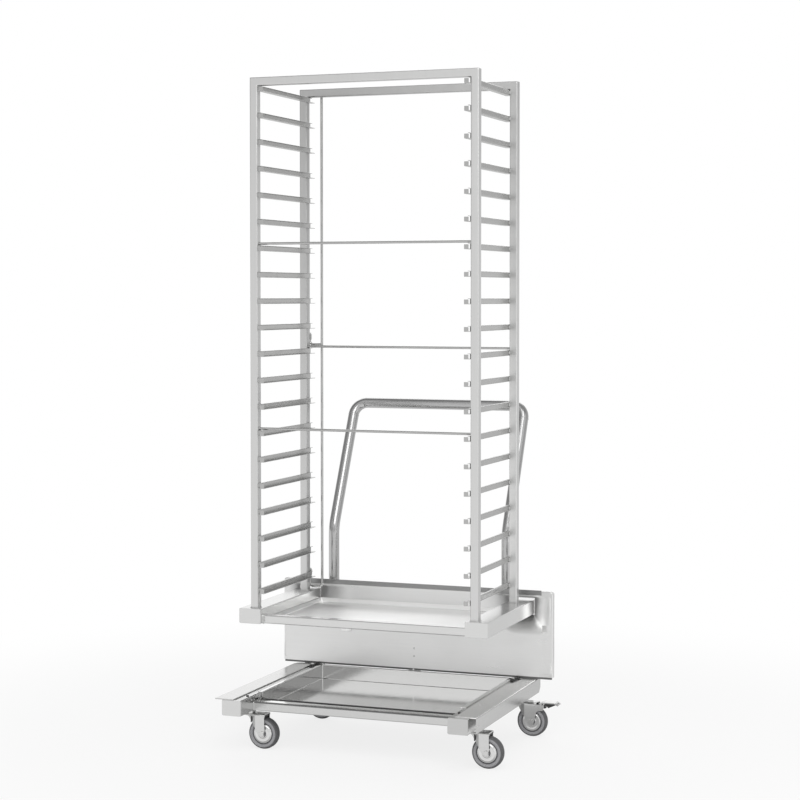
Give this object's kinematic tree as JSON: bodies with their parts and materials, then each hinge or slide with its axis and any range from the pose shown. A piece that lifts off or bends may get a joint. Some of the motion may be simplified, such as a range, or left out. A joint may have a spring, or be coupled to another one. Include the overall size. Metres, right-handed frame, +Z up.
{
  "type": "drive-in rack trolley",
  "caption": "Stainless drive-in oven trolley: tall tray rack on a cantilevered deck, castor undercarriage with drip tray, rear panel and bent tube push handle.",
  "frame": {"origin": "middle of the footprint's bounding box on the floor", "axes": "+Z up, +Y towards the push handle, +X to the right seen from the oven end"},
  "size_m": [0.7474, 0.6794, 1.5945],
  "materials": {
    "black_bracket": "black, satin",
    "black_plug": "moulded",
    "bright_fixings": "bright machined",
    "castor_steel": "pressed stainless",
    "chassis_steel": "brushed tube and sheet",
    "cover_steel": "pressed stainless",
    "dark_screws": "blackened",
    "dark_strip": "dark satin",
    "deck_steel": "fine brushed sheet",
    "handle_steel": "satin tube",
    "hub_grey": "moulded",
    "panel_steel": "brushed sheet, grain across",
    "pedal_steel": "pressed stainless",
    "polished_tray": "bright rolled sheet",
    "rack_steel": "brushed along the tube, welded and dressed joints",
    "rod_steel": "bright drawn rod",
    "runner_steel": "fine brushed sheet",
    "tyre_grey": "grey non-marking tread"
  },
  "bodies": {
    "frame": {"castor_bolts": "bright_fixings", "castor_kingpins": "bright_fixings", "castor_plates": "castor_steel", "chassis_front_bar": "chassis_steel", "chassis_rear_bar": "chassis_steel", "deck_front_bar": "deck_steel", "deck_pan": "deck_steel", "foot_bolts": "bright_fixings", "foot_brackets": "black_bracket", "front_left_upright": "rack_steel", "front_right_upright": "rack_steel", "front_top_bar": "rack_steel", "gate_lugs": "rod_steel", "handle_clamps": "chassis_steel", "handle_plugs": "black_plug", "latch_bracket": "panel_steel", "left_chassis_rail": "chassis_steel", "left_deck_rail": "deck_steel", "left_guide_plate": "chassis_steel", "left_runners": "runner_steel", "panel_screws": "dark_screws", "panel_top_strip": "dark_strip", "push_handle": "handle_steel", "rail_end_caps": "deck_steel", "rear_left_upright": "rack_steel", "rear_panel": "panel_steel", "rear_posts": "chassis_steel", "rear_right_upright": "rack_steel", "rear_top_bar": "rack_steel", "right_chassis_rail": "chassis_steel", "right_deck_rail": "deck_steel", "right_guide_angle": "chassis_steel", "right_runners": "runner_steel", "stop_rods": "rod_steel", "upright_caps": "rack_steel"},
    "tray_gate": {"gate_rod": "rod_steel"},
    "drip_tray": {"drip_tray": "polished_tray"},
    "front_left_castor": {"front_left_fork": "castor_steel", "front_left_axle": "bright_fixings"},
    "front_left_wheel": {"front_left_hub": "hub_grey", "front_left_tyre": "tyre_grey", "front_left_wheel_covers": "cover_steel"},
    "front_right_castor": {"front_right_fork": "castor_steel", "front_right_axle": "bright_fixings"},
    "front_right_wheel": {"front_right_hub": "hub_grey", "front_right_tyre": "tyre_grey", "front_right_wheel_covers": "cover_steel"},
    "rear_left_castor": {"rear_left_fork": "castor_steel", "rear_left_axle": "bright_fixings"},
    "rear_left_wheel": {"rear_left_hub": "hub_grey", "rear_left_tyre": "tyre_grey", "rear_left_wheel_covers": "cover_steel"},
    "rear_left_pedal": {"rear_left_brake_pedal": "pedal_steel"},
    "rear_right_castor": {"rear_right_fork": "castor_steel", "rear_right_axle": "bright_fixings"},
    "rear_right_wheel": {"rear_right_hub": "hub_grey", "rear_right_tyre": "tyre_grey", "rear_right_wheel_covers": "cover_steel"},
    "rear_right_pedal": {"rear_right_brake_pedal": "pedal_steel"}
  },
  "joints": [
    {"name": "tray_gate_swing", "type": "hinge", "parent": "frame", "child": "tray_gate", "pos_m": [-0.284, 0.10725, 0.965], "axis": [0, 0, 1], "range_deg": [0, 170]},
    {"name": "drip_tray_lift", "type": "slide", "parent": "frame", "child": "drip_tray", "axis": [0, 0, 1], "range_m": [0, 0.14]},
    {"name": "front_left_swivel", "type": "hinge", "parent": "frame", "child": "front_left_castor", "pos_m": [-0.2935, -0.24175, 0.08485], "axis": [0, 0, 1], "continuous": true},
    {"name": "front_left_wheel_spin", "type": "hinge", "parent": "front_left_castor", "child": "front_left_wheel", "pos_m": [-0.253, -0.24175, 0.0375], "axis": [0, 1, 0], "continuous": true},
    {"name": "front_right_swivel", "type": "hinge", "parent": "frame", "child": "front_right_castor", "pos_m": [0.2655, -0.24175, 0.08485], "axis": [0, 0, 1], "continuous": true},
    {"name": "front_right_wheel_spin", "type": "hinge", "parent": "front_right_castor", "child": "front_right_wheel", "pos_m": [0.306, -0.24175, 0.0375], "axis": [0, 1, 0], "continuous": true},
    {"name": "rear_left_swivel", "type": "hinge", "parent": "frame", "child": "rear_left_castor", "pos_m": [-0.2935, 0.11025, 0.08485], "axis": [0, 0, 1], "continuous": true},
    {"name": "rear_left_wheel_spin", "type": "hinge", "parent": "rear_left_castor", "child": "rear_left_wheel", "pos_m": [-0.253, 0.11025, 0.0375], "axis": [0, 1, 0], "continuous": true},
    {"name": "rear_left_brake", "type": "hinge", "parent": "rear_left_castor", "child": "rear_left_pedal", "pos_m": [-0.2295, 0.11025, 0.07885], "axis": [0, 1, 0], "range_deg": [0, 12]},
    {"name": "rear_right_swivel", "type": "hinge", "parent": "frame", "child": "rear_right_castor", "pos_m": [0.2655, 0.11025, 0.08485], "axis": [0, 0, 1], "continuous": true},
    {"name": "rear_right_wheel_spin", "type": "hinge", "parent": "rear_right_castor", "child": "rear_right_wheel", "pos_m": [0.306, 0.11025, 0.0375], "axis": [0, 1, 0], "continuous": true},
    {"name": "rear_right_brake", "type": "hinge", "parent": "rear_right_castor", "child": "rear_right_pedal", "pos_m": [0.3295, 0.11025, 0.07885], "axis": [0, 1, 0], "range_deg": [0, 12]}
  ]
}
